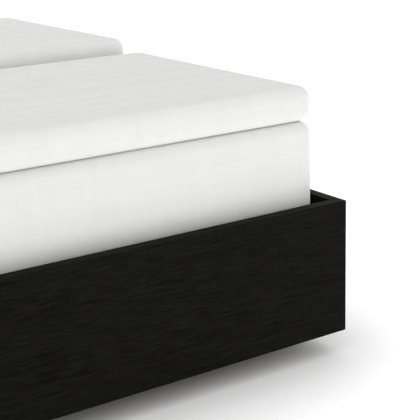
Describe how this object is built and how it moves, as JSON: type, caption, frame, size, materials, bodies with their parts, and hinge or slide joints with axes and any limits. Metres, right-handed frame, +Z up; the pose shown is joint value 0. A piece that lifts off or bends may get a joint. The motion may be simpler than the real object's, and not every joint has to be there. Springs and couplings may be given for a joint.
{
  "type": "platform bed with storage drawers",
  "caption": "Low double platform bed: dark boards floating on a recessed plinth, slatted bases, mattresses with toppers, and handleless full-height drawers on telescopic slides.",
  "frame": {"origin": "on the floor under the middle of the bed", "axes": "+X along the bed towards the foot end, +Y across it towards the left of someone lying on their back, +Z up"},
  "size_m": [2.102, 1.716, 0.712],
  "materials": {
    "dark_veneer": "satin",
    "dark_board": "matte",
    "pine": "matte",
    "slat_wood": "matte",
    "drawer_board": "satin",
    "drawer_bottom": "matte",
    "zinc_steel": "satin",
    "tape": "matte",
    "mattress_fabric": "matte",
    "topper_fabric": "matte"
  },
  "bodies": {
    "frame": {"foot_end_board": "dark_veneer", "head_end_board": "dark_veneer", "side_rail_right": "pine", "side_rail_left": "pine", "centre_beam": "pine", "spine_panel": "dark_board", "drawer_divider_right": "dark_board", "drawer_divider_left": "dark_board", "base_panel_foot": "dark_board", "base_panel_head": "dark_board", "plinth_right": "dark_board", "plinth_left": "dark_board", "plinth_foot": "dark_board", "plinth_head": "dark_board", "plinth_centre": "dark_board", "slats_right": "slat_wood", "slats_left": "slat_wood", "slat_tapes": "tape", "corner_brackets": "zinc_steel", "beam_hangers": "zinc_steel", "frame_bolts": "zinc_steel", "cabinet_runners": "zinc_steel", "mattress_right": "mattress_fabric", "topper_right": "topper_fabric", "mattress_left": "mattress_fabric", "topper_left": "topper_fabric"},
    "drawer_right_foot": {"drawer_right_foot_front": "dark_veneer", "drawer_right_foot_box_front": "drawer_board", "drawer_right_foot_box_back": "drawer_board", "drawer_right_foot_inner_side": "drawer_board", "drawer_right_foot_outer_side": "drawer_board", "drawer_right_foot_bottom": "drawer_bottom", "drawer_right_foot_runners": "zinc_steel"},
    "slide_right_foot": {"slide_right_foot_middle": "zinc_steel"},
    "drawer_right_head": {"drawer_right_head_front": "dark_veneer", "drawer_right_head_box_front": "drawer_board", "drawer_right_head_box_back": "drawer_board", "drawer_right_head_inner_side": "drawer_board", "drawer_right_head_outer_side": "drawer_board", "drawer_right_head_bottom": "drawer_bottom", "drawer_right_head_runners": "zinc_steel"},
    "slide_right_head": {"slide_right_head_middle": "zinc_steel"},
    "drawer_left_foot": {"drawer_left_foot_front": "dark_veneer", "drawer_left_foot_box_front": "drawer_board", "drawer_left_foot_box_back": "drawer_board", "drawer_left_foot_inner_side": "drawer_board", "drawer_left_foot_outer_side": "drawer_board", "drawer_left_foot_bottom": "drawer_bottom", "drawer_left_foot_runners": "zinc_steel"},
    "slide_left_foot": {"slide_left_foot_middle": "zinc_steel"},
    "drawer_left_head": {"drawer_left_head_front": "dark_veneer", "drawer_left_head_box_front": "drawer_board", "drawer_left_head_box_back": "drawer_board", "drawer_left_head_inner_side": "drawer_board", "drawer_left_head_outer_side": "drawer_board", "drawer_left_head_bottom": "drawer_bottom", "drawer_left_head_runners": "zinc_steel"},
    "slide_left_head": {"slide_left_head_middle": "zinc_steel"}
  },
  "joints": [
    {"name": "drawer_right_foot_pull", "type": "slide", "parent": "frame", "child": "drawer_right_foot", "axis": [0, -1, 0], "range_m": [0, 0.65]},
    {"name": "slide_right_foot_run", "type": "slide", "parent": "frame", "child": "slide_right_foot", "axis": [0, -1, 0], "range_m": [0, 0.325]},
    {"name": "drawer_right_head_pull", "type": "slide", "parent": "frame", "child": "drawer_right_head", "axis": [0, -1, 0], "range_m": [0, 0.65]},
    {"name": "slide_right_head_run", "type": "slide", "parent": "frame", "child": "slide_right_head", "axis": [0, -1, 0], "range_m": [0, 0.325]},
    {"name": "drawer_left_foot_pull", "type": "slide", "parent": "frame", "child": "drawer_left_foot", "axis": [0, 1, 0], "range_m": [0, 0.65]},
    {"name": "slide_left_foot_run", "type": "slide", "parent": "frame", "child": "slide_left_foot", "axis": [0, 1, 0], "range_m": [0, 0.325]},
    {"name": "drawer_left_head_pull", "type": "slide", "parent": "frame", "child": "drawer_left_head", "axis": [0, 1, 0], "range_m": [0, 0.65]},
    {"name": "slide_left_head_run", "type": "slide", "parent": "frame", "child": "slide_left_head", "axis": [0, 1, 0], "range_m": [0, 0.325]}
  ],
  "couplings": [
    {"joint": "slide_right_foot_run", "follows": "drawer_right_foot_pull", "ratio": 0.5},
    {"joint": "slide_right_head_run", "follows": "drawer_right_head_pull", "ratio": 0.5},
    {"joint": "slide_left_foot_run", "follows": "drawer_left_foot_pull", "ratio": 0.5},
    {"joint": "slide_left_head_run", "follows": "drawer_left_head_pull", "ratio": 0.5}
  ]
}
